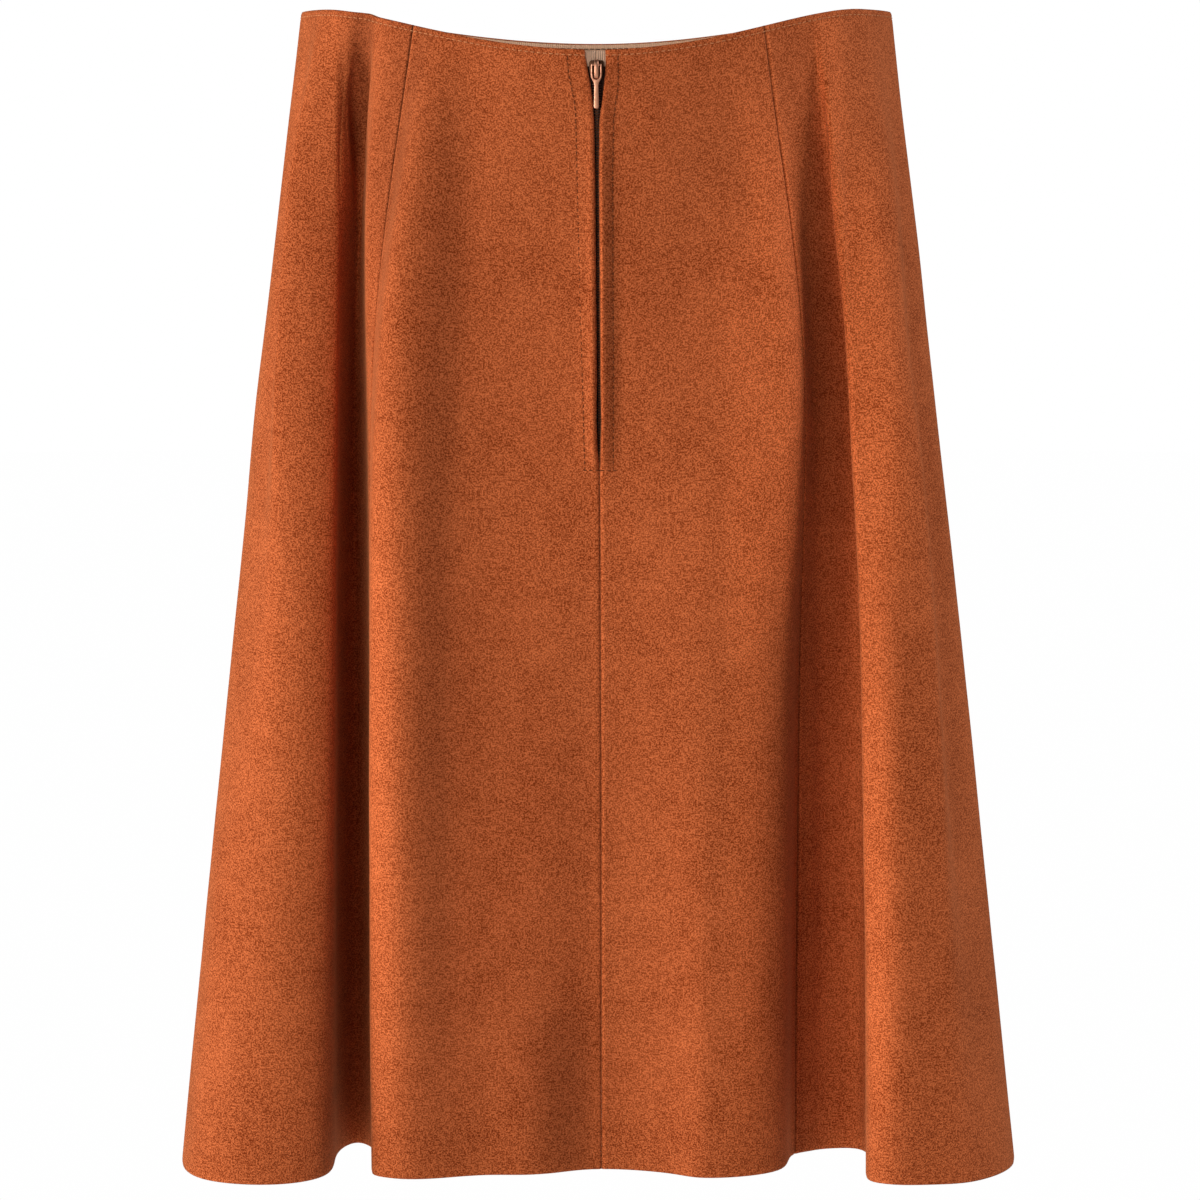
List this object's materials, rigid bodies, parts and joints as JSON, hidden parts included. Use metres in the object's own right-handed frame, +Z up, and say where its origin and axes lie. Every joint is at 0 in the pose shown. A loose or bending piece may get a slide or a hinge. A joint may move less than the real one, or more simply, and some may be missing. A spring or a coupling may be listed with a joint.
{
  "type": "a-line skirt",
  "caption": "A-line skirt in rust suede, filled out as worn, with princess seams, deep hem folds and a centre back zip with a hinged pull tab.",
  "frame": {"origin": "centre of the waist opening, where the wearer's waist holds the skirt up", "axes": "+Z up, -Y out from the centre back with its zip, -X towards the wearer's left"},
  "size_m": [0.4161, 0.2346, 0.5716],
  "materials": {
    "suede": "napped rust-orange suede",
    "facing_cloth": "smooth peach woven facing",
    "zip_tape": "ribbed beige tape",
    "copper_metal": "satin copper-coloured metal"
  },
  "bodies": {
    "skirt": {"centre_back_left": "suede", "centre_back_right": "suede", "side_back_left": "suede", "side_back_right": "suede", "side_front_left": "suede", "side_front_right": "suede", "centre_front": "suede", "front_facing": "facing_cloth", "back_facing_left": "facing_cloth", "back_facing_right": "facing_cloth", "zip_tape_left": "zip_tape", "zip_tape_right": "zip_tape", "zip_slider": "copper_metal", "zip_bottom_stop": "copper_metal"},
    "pull_tab": {"pull_tab": "copper_metal"}
  },
  "joints": [
    {"name": "pull_tab_hinge", "type": "hinge", "parent": "skirt", "child": "pull_tab", "pos_m": [0.00004, -0.09895, -0.01558], "axis": [-1, 0, 0], "range_deg": [0, 160]}
  ]
}
